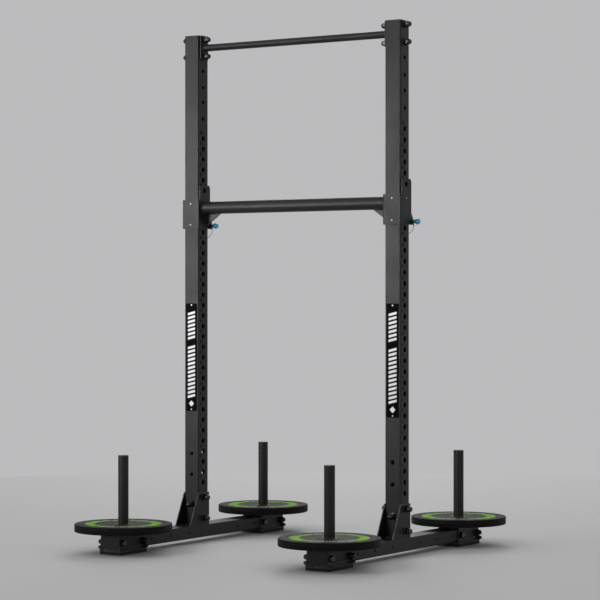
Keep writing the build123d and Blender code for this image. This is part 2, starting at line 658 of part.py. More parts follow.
def lock_pin():
    """The pin along X, with its collar, neck and the lug that holds the lanyard."""
    pin = rod_x(PIN_D, (-PIN_TAIL, PIN_COLLAR_X[0]), 0, 0)
    pin = chamfer(pin.faces().sort_by(Axis.X)[0].edges(), length=PIN_TIP_CHAMFER)
    collar = rod_x(PIN_COLLAR_D, PIN_COLLAR_X, 0, 0)
    neck = rod_x(NECK_D, (PIN_COLLAR_X[1], KNOB_X - KNOB_SOCKET_STOP), 0, 0)
    lug = rod_x(EYE_D, EYE_X, 0, 0) + block(EYE_X, (-EYE_HALF_WIDTH, EYE_HALF_WIDTH), (-EYE_DROP, 0))
    return pin + collar + neck + lug


def lock_knob():
    """A ball knob screwed on the pin's neck."""
    ball = Pos(KNOB_X, 0, 0) * Sphere(KNOB_D / 2)
    return ball - rod_x(NECK_D, (0, KNOB_X - KNOB_SOCKET_STOP), 0, 0)


# The lanyard's route, from the lug under the pin's neck round behind the upright
# to the far flare, measured from the upright's centre line.
LANYARD_ROUTE = (
    (56, 52, 1507.6),
    (57, 52.5, 1493),
    (49, 53, 1477),
    (30, 54, 1463),
    (4, 55.5, 1453),
    (-26, 57, 1449),
    (-54, 58.5, 1456),
    (-71, 60, 1470),
    (-79, 61, 1487),
    (-75, 62, 1503),
    (-62, 62, 1511),
    (-SLEEVE_HALF, 62, 1511),
)


def lanyard():
    """A thin wire: straight runs joined by arcs as large as the runs allow."""
    points = [Vector(*point) for point in LANYARD_ROUTE]
    radii = []
    for before, here, after in zip(points, points[1:], points[2:]):
        turn = (here - before).get_angle(after - here)
        shorter = min((here - before).length, (after - here).length)
        radii.append(0.45 * shorter / math.tan(math.radians(turn / 2)))
    path = FilletPolyline(*points, radius=radii)
    section = Plane(path @ 0, z_dir=path % 0) * Circle(LANYARD_D / 2)
    wire = sweep(section, path=path)
    print("lanyard radii", [round(radius) for radius in radii], "length", round(path.length, 1))
    print("lanyard volume over section x length", wire.volume / (math.pi * LANYARD_D ** 2 / 4 * path.length))
    return wire


for side, sign in SIDES.items():
    centre = sign * HALF_SPREAD
    write(f"lock_pin_{side}", Pos(centre, PIN_Y, PIN_Z) * lock_pin())
    write(f"lock_knob_{side}", Pos(centre, PIN_Y, PIN_Z) * lock_knob())
    write(f"lanyard_{side}", Pos(centre, 0, 0) * lanyard())
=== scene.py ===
import json
import math

import bmesh
import bpy
from mathutils import Matrix, Vector


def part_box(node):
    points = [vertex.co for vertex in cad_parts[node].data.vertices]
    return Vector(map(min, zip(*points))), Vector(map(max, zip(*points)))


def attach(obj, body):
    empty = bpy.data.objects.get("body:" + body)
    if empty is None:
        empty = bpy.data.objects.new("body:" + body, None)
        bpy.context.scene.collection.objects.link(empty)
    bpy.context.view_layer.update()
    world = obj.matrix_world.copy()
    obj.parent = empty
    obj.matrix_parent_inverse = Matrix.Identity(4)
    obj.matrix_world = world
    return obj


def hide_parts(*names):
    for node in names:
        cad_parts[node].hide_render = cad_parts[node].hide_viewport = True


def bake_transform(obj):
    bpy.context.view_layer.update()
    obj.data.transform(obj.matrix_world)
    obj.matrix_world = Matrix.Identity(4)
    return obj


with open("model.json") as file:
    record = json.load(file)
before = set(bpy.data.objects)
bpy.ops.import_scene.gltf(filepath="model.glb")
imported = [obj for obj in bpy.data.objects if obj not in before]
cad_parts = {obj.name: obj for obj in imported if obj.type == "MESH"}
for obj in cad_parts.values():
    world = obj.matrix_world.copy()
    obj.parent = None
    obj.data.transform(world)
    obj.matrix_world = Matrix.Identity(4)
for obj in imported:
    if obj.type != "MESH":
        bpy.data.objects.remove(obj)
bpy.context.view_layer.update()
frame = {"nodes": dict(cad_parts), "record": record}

# Plate-loaded yoke with a pull-up bar. Metres, in the frame's axes:
# +X along the crossbar, +Y along the floor runners, +Z up.


# ---------------------------------------------------------------- places, from the frame
def middle(node):
    low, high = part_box(node)
    return (low + high) / 2


SIDES = {"left": -1, "right": 1}
CORNERS = ("front_left", "front_right", "back_left", "back_right")
UPRIGHT_X = {side: middle(f"upright_{side}").x for side in SIDES}
HALF_TUBE = (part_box("upright_right")[1].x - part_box("upright_right")[0].x) / 2
RUNNER_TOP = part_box("runner_right")[1].z


# ---------------------------------------------------------------- camera
CAMERA_AZIMUTH = math.radians(33)
CAMERA_DISTANCE = 10.351
CAMERA_ASIDE = 0.0289           # how far the view's axis passes to the right of the origin
CAMERA_HEIGHT = 1.1622
CAMERA_LENS = 132.84            # millimetres, on a 36 mm sensor


def make_camera():
    data = bpy.data.cameras.new("camera")
    data.sensor_width = 36
    data.lens = CAMERA_LENS
    camera = bpy.data.objects.new("camera", data)
    right = Vector((math.cos(CAMERA_AZIMUTH), math.sin(CAMERA_AZIMUTH), 0))
    back = Vector((math.sin(CAMERA_AZIMUTH), -math.cos(CAMERA_AZIMUTH), 0))
    camera.location = back * CAMERA_DISTANCE + right * CAMERA_ASIDE + Vector((0, 0, CAMERA_HEIGHT))
    camera.rotation_euler = (math.radians(90), 0, CAMERA_AZIMUTH)
    bpy.context.scene.collection.objects.link(camera)
    bpy.context.scene.camera = camera


make_camera()


# ---------------------------------------------------------------- materials
EDGE_SAMPLES = 6
EDGE_BEGINS = 0.98              # an edge's mask begins where the rounded normal's cosine to the face is this; finishes use it for wear, for a painted edge highlight and for painted shade
EDGE_FULL = 0.78                # and is full where it is this


class Finish:
    """One material: its Principled shader, and short ways to add nodes to it."""

    def __init__(self, name, constants):
        self.material = bpy.data.materials.new(name)
        self.material.use_nodes = True
        self.tree = self.material.node_tree
        self.shader = self.tree.nodes["Principled BSDF"]
        for socket, value in constants.items():
            self.shader.inputs[socket].default_value = value
        self.place = self.tree.nodes.new("ShaderNodeTexCoord").outputs["Object"]
        self.rounded = None

    def node(self, kind, **inputs):
        """A node whose inputs, given by name with _ for a space, are values or other nodes' outputs."""
        node = self.tree.nodes.new(kind)
        for socket, value in inputs.items():
            self.feed(node.inputs[socket.replace("_", " ")], value)
        return node

    def feed(self, socket, value):
        if isinstance(value, bpy.types.NodeSocket):
            self.tree.links.new(value, socket)
        else:
            socket.default_value = value

    def noise(self, scale, detail=3.0, stretch=(1, 1, 1)):
        """Noise in the frame's metres, about 1/scale across."""
        mapping = self.node("ShaderNodeMapping", Vector=self.place, Scale=stretch)
        texture = self.node("ShaderNodeTexNoise", Vector=mapping.outputs[0], Scale=scale, Detail=detail)
        return texture.outputs[0]

    def span(self, value, low, high, to_low=0.0, to_high=1.0):
        """value, taken from the range low to high into another range, and held inside it."""
        node = self.node("ShaderNodeMapRange", Value=value)
        for index, limit in zip((1, 2, 3, 4), (low, high, to_low, to_high)):
            node.inputs[index].default_value = limit
        return node.outputs[0]

    def times(self, one, other):
        node = self.tree.nodes.new("ShaderNodeMath")
        node.operation = "MULTIPLY"
        self.feed(node.inputs[0], one)
        self.feed(node.inputs[1], other)
        return node.outputs[0]

    def mix(self, amount, one, other):
        """A colour from one to other as amount goes from 0 to 1."""
        node = self.tree.nodes.new("ShaderNodeMix")
        node.data_type = "RGBA"
        self.feed(node.inputs[0], amount)
        for socket, value in ((node.inputs[6], one), (node.inputs[7], other)):
            self.feed(socket, value if isinstance(value, bpy.types.NodeSocket) else (*value, 1))
        return node.outputs[2]

    def edges(self, radius):
        """1 along sharp edges and 0 on the faces, within radius of the edge."""
        bevel = self.node("ShaderNodeBevel", Radius=radius)
        bevel.samples = EDGE_SAMPLES
        face = self.tree.nodes.new("ShaderNodeNewGeometry").outputs["Normal"]
        dot = self.tree.nodes.new("ShaderNodeVectorMath")
        dot.operation = "DOT_PRODUCT"
        self.feed(dot.inputs[0], bevel.outputs[0])
        self.feed(dot.inputs[1], face)
        self.rounded = bevel.outputs[0]
        return self.span(dot.outputs["Value"], EDGE_BEGINS, EDGE_FULL)

    def bump(self, height, depth, strength=1.0):
        """A bump of that depth in metres, on top of the last one."""
        node = self.node("ShaderNodeBump", Height=height, Distance=depth, Strength=strength)
        if self.rounded is not None:
            self.feed(node.inputs["Normal"], self.rounded)
        self.rounded = node.outputs[0]
        self.feed(self.shader.inputs["Normal"], self.rounded)

    def done(self, colour, roughness):
        self.feed(self.shader.inputs["Base Color"], colour)
        self.feed(self.shader.inputs["Roughness"], roughness)
        return self.material


def grey(level, tint=1.0):
    """A near-neutral colour; a tint over 1 is cooler."""
    return (level, level, level * tint)


def powder_coat(name="powder_coat_black", edge_level=0.075, edge_width=0.0011):
    """Satin black powder coat: fine orange peel, faint mottling, edges rubbed a little lighter; a high
    edge_level with a wide edge_width instead paints a bright highlight along the edges.
    """
    coat = Finish(name, {"Specular IOR Level": 0.30})
    edge = coat.edges(edge_width)
    mottle = coat.noise(7, detail=5)
    edge_wear_and_highlight = coat.times(edge, coat.span(coat.noise(60, detail=4), 0.35, 0.7, 0.25, 1.0))
    colour = coat.mix(coat.span(mottle, 0.35, 0.65), grey(0.0085, 1.03), grey(0.0115, 1.03))
    # Lighter edges: wear at the default level, and a painted highlight when edge_level is high.
    colour = coat.mix(edge_wear_and_highlight, colour, grey(edge_level))
    coat.bump(coat.noise(1300, detail=2), 0.00012, 0.55)
    coat.bump(coat.noise(220, detail=1), 0.00025, 0.25)
    return coat.done(colour, coat.span(mottle, 0.3, 0.7, 0.40, 0.50))


def black_zinc():
    """Glossy black plated fasteners with small bright worn edges."""
    zinc = Finish("black_zinc", {"Metallic": 1.0, "Coat Weight": 0.25, "Coat Roughness": 0.12})
    edge = zinc.edges(0.0008)
    colour = zinc.mix(zinc.span(zinc.noise(45), 0.3, 0.7), grey(0.035, 1.05), grey(0.065, 1.05))
    worn = zinc.times(edge, zinc.span(zinc.noise(240), 0.35, 0.7, 0.2, 0.9))
    zinc.bump(zinc.noise(900), 0.00004, 0.5)
    return zinc.done(
        zinc.mix(worn, colour, grey(0.5)),
        zinc.span(zinc.noise(90), 0.3, 0.7, 0.16, 0.28),
    )


def plate_rubber():
    """Moulded rubber: dull, finely pitted, dusty on top and scuffed along the rim."""
    rubber = Finish("moulded_rubber", {"Specular IOR Level": 0.12})
    edge = rubber.edges(0.0022)
    up = rubber.tree.nodes.new("ShaderNodeSeparateXYZ")
    rubber.feed(up.inputs[0], rubber.tree.nodes.new("ShaderNodeNewGeometry").outputs["Normal"])
    dusty = rubber.times(
        rubber.span(up.outputs["Z"], 0.4, 1.0, 0.0, 0.75),
        rubber.span(rubber.noise(28, detail=6), 0.25, 0.75, 0.5, 1.0),
    )
    colour = rubber.mix(dusty, grey(0.004), grey(0.026))
    scuffed = rubber.times(edge, rubber.span(rubber.noise(120, detail=5), 0.45, 0.75, 0.0, 0.8))
    rubber.bump(rubber.noise(700, detail=3), 0.0002, 0.6)
    return rubber.done(
        rubber.mix(scuffed, colour, grey(0.05)),
        rubber.span(rubber.noise(40, detail=4), 0.3, 0.7, 0.52, 0.7),
    )


def green_inlay():
    """Coloured rubber let into the plate: mottled, with darker dirty specks, and darker along its edges as
    painted shade where it meets the rubber.
    """
    green = Finish("green_inlay", {"Specular IOR Level": 0.03})
    edge = green.edges(0.0012)
    patch = green.noise(34, detail=6)
    colour = green.mix(green.span(patch, 0.3, 0.62), (0.090, 0.25, 0.008), (0.25, 0.60, 0.020))
    speck = green.span(green.noise(900, detail=1), 0.62, 0.72, 0.0, 0.5)
    colour = green.mix(speck, colour, (0.05, 0.12, 0.02))
    green.bump(green.noise(800, detail=2), 0.00015, 0.6)
    return green.done(
        # Painted shade: the ring is darker along its edges, where it meets the rubber.
        green.mix(edge, colour, (0.04, 0.11, 0.012)),
        green.span(patch, 0.3, 0.7, 0.5, 0.66),
    )


def pale_ink():
    """Worn pale yellow marks in the green inlay."""
    ink = Finish("pale_ring_marks", {"Specular IOR Level": 0.3})
    worn = ink.span(ink.noise(260, detail=4), 0.38, 0.6)
    ink.bump(ink.noise(900), 0.0001, 0.4)
    return ink.done(
        ink.mix(worn, (0.30, 0.42, 0.16), (0.62, 0.60, 0.40)),
        ink.span(worn, 0, 1, 0.55, 0.7),
    )


def dark_panel():
    """Dark green rubber behind the pale marks."""
    panel = Finish("ring_panel_dark", {"Specular IOR Level": 0.2})
    cloud = panel.noise(60, detail=5)
    panel.bump(panel.noise(800, detail=2), 0.00015, 0.5)
    return panel.done(
        panel.mix(panel.span(cloud, 0.35, 0.6), (0.008, 0.016, 0.004), (0.035, 0.085, 0.014)),
        panel.span(cloud, 0.3, 0.7, 0.55, 0.68),
    )


def hub_steel():
    """Turned steel under thin black paint that the post has rubbed."""
    steel = Finish("turned_hub", {"Metallic": 1.0})
    edge = steel.edges(0.0014)
    wear = steel.times(edge, steel.span(steel.noise(150, detail=4), 0.3, 0.65, 0.3, 1.0))
    colour = steel.mix(steel.span(steel.noise(30, detail=5), 0.4, 0.65), grey(0.03), grey(0.075))
    steel.bump(steel.noise(420, stretch=(1, 1, 6)), 0.00008, 0.5)
    return steel.done(
        steel.mix(wear, colour, grey(0.5)),
        steel.span(steel.noise(70), 0.3, 0.7, 0.35, 0.5),
    )


def moulded_plastic(name, level, roughness):
    """Fine-grained black plastic."""
    plastic = Finish(name, {"Specular IOR Level": 0.4})
    plastic.edges(0.0008)
    grain = plastic.noise(1100, detail=2)
    cloud = plastic.noise(25, detail=4)
    plastic.bump(grain, 0.00012, 0.6)
    return plastic.done(
        plastic.mix(plastic.span(cloud, 0.3, 0.7), grey(level), grey(level * 1.5)),
        plastic.span(cloud, 0.3, 0.7, roughness - 0.06, roughness + 0.06),
    )


def bright_metal(name, level, roughness):
    """Plain bright metal with a fine brushed grain."""
    metal = Finish(name, {"Metallic": 1.0})
    metal.edges(0.0004)
    cloud = metal.noise(180, detail=4)
    metal.bump(metal.noise(600, stretch=(6, 1, 1)), 0.00003, 0.5)
    return metal.done(
        metal.mix(metal.span(cloud, 0.3, 0.7), grey(level * 0.75), grey(level)),
        metal.span(cloud, 0.3, 0.7, roughness, roughness + 0.15),
    )


def name_plate_face():
    """Printed sheet: flat black with a faint sheen and hairline scratches."""
    sheet = Finish("name_plate_black", {"Specular IOR Level": 0.03})
    sheet.edges(0.0004)
    scratch = sheet.span(sheet.noise(260, detail=2, stretch=(6, 1, 0.25)), 0.66, 0.7, 0.0, 0.5)
    sheet.bump(sheet.noise(500), 0.00003, 0.3)
    return sheet.done(
        sheet.mix(scratch, grey(0.0015), grey(0.012)),
        sheet.span(sheet.noise(14), 0.3, 0.7, 0.5, 0.62),
    )


def white_print():
    """White screen print, slightly thin in places."""
    ink = Finish("white_print", {"Specular IOR Level": 0.35})
    thin = ink.span(ink.noise(380, detail=4), 0.3, 0.45)
    ink.bump(ink.noise(1200), 0.00003, 0.4)
    return ink.done(ink.mix(thin, grey(0.55), grey(0.82)), ink.span(thin, 0, 1, 0.55, 0.42))


def number_ink():
    """Height numbers, laser-marked into the powder coat: near black, matt."""
    ink = Finish("number_marks", {"Specular IOR Level": 0.03})
    cloud = ink.noise(300, detail=3)
    ink.bump(ink.noise(1500), 0.00008, 0.5)
    return ink.done(ink.mix(cloud, grey(0.0008), grey(0.003)), ink.span(cloud, 0.3, 0.7, 0.7, 0.85))


def blue_knob():
    """Glossy teal ball of hard plastic."""
    blue = Finish("teal_knob", {"Coat Weight": 0.6, "Coat Roughness": 0.06, "Specular IOR Level": 0.55})
    blue.edges(0.0006)
    cloud = blue.noise(70, detail=3)
    blue.bump(blue.noise(500), 0.00003, 0.3)
    return blue.done(
        blue.mix(blue.span(cloud, 0.3, 0.7), (0.018, 0.30, 0.48), (0.030, 0.40, 0.60)),
        blue.span(cloud, 0.3, 0.7, 0.2, 0.3),
    )


def weld_metal():
    """A weld bead under the same powder coat: shinier than the coat, with its sheen varying at random."""
    weld = Finish("coated_weld", {"Specular IOR Level": 0.55})
    cloud = weld.noise(120, detail=4)
    weld.bump(weld.noise(1000, detail=2), 0.0001, 0.5)
    return weld.done(
        weld.mix(weld.span(cloud, 0.3, 0.7), grey(0.013, 1.03), grey(0.022, 1.03)),
        weld.span(cloud, 0.3, 0.7, 0.32, 0.44),
    )


FINISHES = {
    "black_powder_coat": powder_coat(),
    "black_fasteners": black_zinc(),
    "plate_rubber": plate_rubber(),
    "plate_ring_green": green_inlay(),
    "hub_steel": hub_steel(),
    "cap_plastic": moulded_plastic("cap_plastic_black", 0.014, 0.5),
    "liner_plastic": moulded_plastic("liner_plastic_black", 0.02, 0.38),
    "bright_screws": bright_metal("zinc_screws", 0.50, 0.42),
    "rivet_aluminium": bright_metal("rivet_metal", 0.5, 0.35),
    "name_plate_face": name_plate_face(),
    "pin_steel": bright_metal("dark_pin_steel", 0.16, 0.25),
    "blue_knob": blue_knob(),
    "lanyard_wire": bright_metal("lanyard_strands", 0.2, 0.3),
    "skid_rubber": moulded_plastic("skid_rubber_black", 0.008, 0.75),
}
# Painted highlight: a wide bright band painted along the edges of the base brackets and foot channels, in
# place of light caught by those edges, broken up like wear.
EDGE_HIGHLIGHT_COAT = powder_coat("powder_coat_painted_edge_highlight", 0.75, 0.0034)
PALE_INK = pale_ink()
DARK_PANEL = dark_panel()
WHITE_PRINT = white_print()
NUMBER_INK = number_ink()
WELD = weld_metal()
EDGE_HIGHLIGHT_NODES = ("base_bracket", "foot_channel")
SHARP_ANGLE = math.radians(28)


def finish_cad_nodes():
    """The CAD nodes that stay, each with the finish of its material slot."""
    for part in frame["record"]["subparts"]:
        data = frame["nodes"][part["node"]].data
        # These nodes take the coat with the painted edge highlight.
        edge_wear_and_highlight = part["node"].startswith(EDGE_HIGHLIGHT_NODES)
        data.materials.clear()
        data.materials.append(EDGE_HIGHLIGHT_COAT if edge_wear_and_highlight else FINISHES[part["material_slot"]])
        data.shade_smooth()
        data.set_sharp_from_angle(angle=SHARP_ANGLE)


# ---------------------------------------------------------------- mesh helpers
class Shape:
    """Vertices and faces gathered for one piece."""

    def __init__(self):
        self.points = []
        self.faces = []

    def add(self, points, faces):
        start = len(self.points)
        self.points += [Vector(point) for point in points]
        self.faces += [[start + index for index in face] for face in faces]

    def prism(self, outline, thick, place):
        """A flat plate: outline in local x, y, from z = 0 up to thick, put in place by a matrix."""
        count = len(outline)
        points = [place @ Vector((x, y, z)) for z in (0, thick) for x, y in outline]
        faces = [list(range(count))[::-1], list(range(count, 2 * count))]
        for index in range(count):
            after = (index + 1) % count
            faces.append([index, after, after + count, index + count])
        self.add(points, faces)

    def lathe(self, profile, segments, place):
        """A closed outline of (radius, height) points turned round local Z."""
        count = len(profile)
        points = []
        for step in range(segments):
            angle = 2 * math.pi * step / segments
            turn = Vector((math.cos(angle), math.sin(angle), 0))
            points += [place @ (turn * radius + Vector((0, 0, height))) for radius, height in profile]
        faces = []
        for step in range(segments):
            near, far = step * count, (step + 1) % segments * count
            for index in range(count):
                after = (index + 1) % count
                faces.append([near + index, far + index, far + after, near + after])
        self.add(points, faces)

    def sweep(self, line, radius, sides, closed=False):
        """A round tube along the line; radius(distance) gives its radius."""
        rings = []
        for point, side, up, distance in carried_frames(line, closed):
            size = radius(distance)
            for step in range(sides):
                angle = 2 * math.pi * step / sides
                rings.append(point + (side * math.cos(angle) + up * math.sin(angle)) * size)
        faces = []
        count = len(line)
        for near in range(count if closed else count - 1):
            far = (near + 1) % count
            for step in range(sides):
                after = (step + 1) % sides
                near_side, far_side = near * sides, far * sides
                faces.append([near_side + step, near_side + after, far_side + after, far_side + step])
        if not closed:
            faces.append(list(range(sides))[::-1])
            faces.append(list(range((count - 1) * sides, count * sides)))
        self.add(rings, faces)

    def piece(self, name, body, slot, material, sharp=SHARP_ANGLE):
        """The finished object, which moves with that body unless body is None."""
        mesh = bpy.data.meshes.new(name)
        mesh.from_pydata(self.points, [], self.faces)
        build = bmesh.new()
        build.from_mesh(mesh)
        bmesh.ops.recalc_face_normals(build, faces=build.faces)
        build.to_mesh(mesh)
        build.free()
        mesh.materials.append(material)
        mesh.shade_smooth()
        mesh.set_sharp_from_angle(angle=sharp)
        obj = bpy.data.objects.new(name, mesh)
        bpy.context.scene.collection.objects.link(obj)
        if body is not None:
            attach(obj, body)
        return obj


def carried_frames(line, closed):
    """Each point of the line with its distance, and two directions across it that turn the least they can."""
    count = len(line)
    frames = []
    side = None
    distance = 0.0
    for index, point in enumerate(line):
        before = line[index - 1] if index or closed else point
        after = line[(index + 1) % count] if index < count - 1 or closed else point
        along = (after - before).normalized()
        if side is None:
            side = along.orthogonal().normalized()
        side = (side - along * side.dot(along)).normalized()
        if index:
            distance += (point - line[index - 1]).length
        frames.append((point, side, along.cross(side), distance))
    return frames


def arc(centre, radius, start, end, steps):
    """Points of an arc in a profile; the angles are in degrees."""
    points = []
    for step in range(steps + 1):
        angle = math.radians(start + (end - start) * step / steps)
        points.append((centre[0] + radius * math.cos(angle), centre[1] + radius * math.sin(angle)))
    return points


def facing(place, normal, up):
    """A matrix at place whose local Z is normal and whose local Y is up."""
    z = Vector(normal).normalized()
    x = Vector(up).cross(z).normalized()
    y = z.cross(x)
    return Matrix.Translation(place) @ Matrix((x, y, z)).transposed().to_4x4()


# ---------------------------------------------------------------- lanyards of the lock pins
# The wire's route from the pin's lug round behind the upright to the far flare,
# measured from the upright's centre line, as in the CAD model.
LANYARD_ROUTE = (
    (0.056, 0.052, 1.5076),
    (0.057, 0.0525, 1.493),
    (0.049, 0.053, 1.477),
    (0.030, 0.054, 1.463),
    (0.004, 0.0555, 1.453),
    (-0.026, 0.057, 1.449),
    (-0.054, 0.0585, 1.456),
    (-0.071, 0.060, 1.470),
    (-0.079, 0.061, 1.487),
    (-0.075, 0.062, 1.503),
    (-0.062, 0.062, 1.511),
    (-0.048, 0.062, 1.511),
)
LANYARD_D = 0.0024
STRANDS = 6
STRAND_R = LANYARD_D / 6         # three strands side by side make the diameter
STRAND_SIDES = 6
STRAND_PITCH = 0.013
NURBS_STEPS = 16                # points of the smooth line for each control point
FERRULE_BORE_R = 0.00125
FERRULE_R = 0.0023
FERRULE_WAIST_R = 0.0019
FERRULE_LENGTH = 0.009
FERRULE_WAISTS = (0.3, 0.7)     # the waists' middles, along the ferrule
WAIST_HALF = 0.05               # half of a waist's flat bottom, and half of its mouth, along the ferrule
WAIST_MOUTH_HALF = 0.12
FERRULE_EDGE = (0.0003, 0.0004)     # the ends' chamfer, across and along
FERRULE_SEGMENTS = 24
AIM = 4                         # a ferrule points along the line to this many points further on


def nurbs_line(route):
    """Points along the smooth line that has the route as its control points."""
    data = bpy.data.curves.new("route", "CURVE")
    data.dimensions = "3D"
    data.resolution_u = NURBS_STEPS
    spline = data.splines.new("NURBS")
    spline.points.add(len(route) - 1)
    for point, place in zip(spline.points, route):
        point.co = (*place, 1)
    spline.order_u = 3
    spline.use_endpoint_u = True
    holder = bpy.data.objects.new("route", data)
    mesh = bpy.data.meshes.new_from_object(holder)
    line = [vertex.co.copy() for vertex in mesh.vertices]
    bpy.data.objects.remove(holder)
    bpy.data.meshes.remove(mesh)
    bpy.data.curves.remove(data)
    return line


def strand_line(line, number):
    """One strand's centre line, wound round the wire's line; number 0 is the core."""
    if number == 0:
        return line
    strand = []
    for point, side, up, distance in carried_frames(line, False):
        angle = 2 * math.pi * (distance / STRAND_PITCH + number / STRANDS)
        strand.append(point + (side * math.cos(angle) + up * math.sin(angle)) * 2 * STRAND_R)
    return strand


def ferrule(name, end, inward, body):
    """A crimped sleeve on the wire's end, with two pressed waists."""
    across, along = FERRULE_EDGE
    profile = [(FERRULE_BORE_R, 0.0), (FERRULE_R - across, 0.0), (FERRULE_R, along)]
    for centre in FERRULE_WAISTS:
        profile += [
            (FERRULE_R, FERRULE_LENGTH * (centre - WAIST_MOUTH_HALF)),
            (FERRULE_WAIST_R, FERRULE_LENGTH * (centre - WAIST_HALF)),
            (FERRULE_WAIST_R, FERRULE_LENGTH * (centre + WAIST_HALF)),
            (FERRULE_R, FERRULE_LENGTH * (centre + WAIST_MOUTH_HALF)),
        ]
    profile += [
        (FERRULE_R, FERRULE_LENGTH - along),
        (FERRULE_R - across, FERRULE_LENGTH),
        (FERRULE_BORE_R, FERRULE_LENGTH),
    ]
    shape = Shape()
    shape.lathe(profile, FERRULE_SEGMENTS, facing(end, inward, Vector(inward).orthogonal()))
    return shape.piece(name, body, "lanyard_wire", FINISHES["lanyard_wire"])


def lanyard(side):
    """The stranded wire of one lock pin with a ferrule at each end."""
    centre = Vector((UPRIGHT_X[side], 0, 0))
    line = nurbs_line([centre + Vector(point) for point in LANYARD_ROUTE])[::-1]
    wire = Shape()
    for number in range(STRANDS + 1):
        wire.sweep(strand_line(line, number), lambda distance: STRAND_R, STRAND_SIDES)
    wire = wire.piece(f"lanyard_strands_{side}", None, "lanyard_wire", FINISHES["lanyard_wire"])
    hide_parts(f"lanyard_{side}")
    crimps = [
        ferrule(f"lanyard_ferrule_flare_{side}", line[0], line[AIM] - line[0], "crossbar_carriage"),
        ferrule(f"lanyard_ferrule_pin_{side}", line[-1], line[-1 - AIM] - line[-1], f"{side}_lock_pin"),
    ]
    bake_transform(wire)


for side in SIDES:
    lanyard(side)


# ---------------------------------------------------------------- weld beads
RIPPLE = 0.0032                 # from one ripple of a bead to the next
STEPS_PER_RIPPLE = 4
BEAD_STEP = RIPPLE / STEPS_PER_RIPPLE
BEAD_SIDES = 8
RIPPLE_SWELL = 0.13             # how much thicker the bead is at a ripple
BEAD_TIP = 0.35                 # an open end's thickness, against the bead's
BAR_BEAD = 0.0026               # the beads' radii
PULL_UP_BEAD = 0.0024
GUSSET_BEAD = 0.002
FOOT_BEAD = 0.003
COLLAR_BEAD = 0.0026
COLLAR_R = 0.048                # the collar of a loading post, as in the CAD model
BRACKET_WALL = 0.005
GUSSET_REACH = 0.078            # how far a gusset's bead runs along the crossbar


def bead_radius(size, length=None):
    """The bead's radius along its length: rippled, and tapered at open ends."""
    def radius(distance):
        swell = 1 + RIPPLE_SWELL * math.sin(2 * math.pi * distance / RIPPLE)
        if length is None:
            return size * swell
        to_end = min(distance, length - distance)
        return size * swell * min(1.0, BEAD_TIP + (1 - BEAD_TIP) * to_end / (2 * size))
    return radius


def straight_bead(shape, start, end, size):
    """A bead with tapered ends from start to end."""
    start, end = Vector(start), Vector(end)
    length = (end - start).length
    steps = max(4, round(length / BEAD_STEP))
    line = [start.lerp(end, step / steps) for step in range(steps + 1)]
    shape.sweep(line, bead_radius(size, length), BEAD_SIDES)


def round_bead(shape, centre, axis, radius, size):
    """A bead round a tube whose axis goes through centre."""
    across = Vector(axis).orthogonal().normalized()
    other = Vector(axis).normalized().cross(across)
    ripples = round(2 * math.pi * radius / RIPPLE)
    steps = STEPS_PER_RIPPLE * ripples
    line = []
    for step in range(steps):
        angle = 2 * math.pi * step / steps
        line.append(Vector(centre) + (across * math.cos(angle) + other * math.sin(angle)) * radius)
    shape.sweep(line, bead_radius(size), BEAD_SIDES, closed=True)


def bar_welds(name, bar, body, size):
    """A bead round each end of a bar along X, where it meets a flat plate."""
    low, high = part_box(bar)
    radius = (high.z - low.z) / 2
    shape = Shape()
    for end in (low.x, high.x):
        inward = -math.copysign(size * 0.45, end)
        round_bead(shape, (end + inward, 0, (low.z + high.z) / 2), (1, 0, 0), radius + size * 0.3, size)
    return shape.piece(name, body, "black_powder_coat", WELD)


def gusset_welds():
    """Beads on both faces of each gusset, along the sleeve and along the crossbar."""
    size = GUSSET_BEAD
    low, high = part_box("crossbar_gussets")
    bar_low, bar_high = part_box("crossbar")
    bar_middle, bar_radius = (bar_low + bar_high) / 2, (bar_high.z - bar_low.z) / 2
    shape = Shape()
    for sign in SIDES.values():
        by_sleeve = bar_high.x * sign - sign * size * 0.4
        along_bar = (bar_high.x * sign - sign * size, bar_high.x * sign - sign * GUSSET_REACH)
        for face in (low.y - size * 0.2, high.y + size * 0.2):
            on_bar = bar_middle.z - math.sqrt(bar_radius ** 2 - face ** 2)
            straight_bead(shape, (by_sleeve, face, low.z + size), (by_sleeve, face, on_bar), size)
            straight_bead(shape, (along_bar[0], face, on_bar), (along_bar[1], face, on_bar), size)
    return shape.piece("gusset_welds", "crossbar_carriage", "black_powder_coat", WELD)


def foot_welds():
    """Beads that hold each upright and its bracket to the runner."""
    size = FOOT_BEAD
    shape = Shape()
    for side in SIDES:
        low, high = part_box(f"base_bracket_{side}")
        z = RUNNER_TOP + size * 0.25
        outside = size * 0.3
        for x in (low.x - outside, high.x + outside):
            straight_bead(shape, (x, low.y + 2 * size, z), (x, high.y, z), size)
        straight_bead(shape, (low.x, high.y + outside, z), (high.x, high.y + outside, z), size)
        front = -HALF_TUBE - outside
        straight_bead(shape, (low.x + BRACKET_WALL, front, z), (high.x - BRACKET_WALL, front, z), size)
    return shape.piece("foot_welds", "frame", "black_powder_coat", WELD)


def collar_welds():
    """A bead under the collar of each loading post, on the saddle's top."""
    size = COLLAR_BEAD
    shape = Shape()
    for corner in CORNERS:
        place = middle(f"post_{corner}")
        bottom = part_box(f"post_{corner}")[0].z
        round_bead(shape, (place.x, place.y, bottom + size * 0.3), (0, 0, 1), COLLAR_R + size * 0.25, size)
    return shape.piece("collar_welds", "frame", "black_powder_coat", WELD)


bar_welds("crossbar_welds", "crossbar", "crossbar_carriage", BAR_BEAD)
bar_welds("pull_up_bar_welds", "pull_up_bar", "frame", PULL_UP_BEAD)
gusset_welds()
foot_welds()
collar_welds()


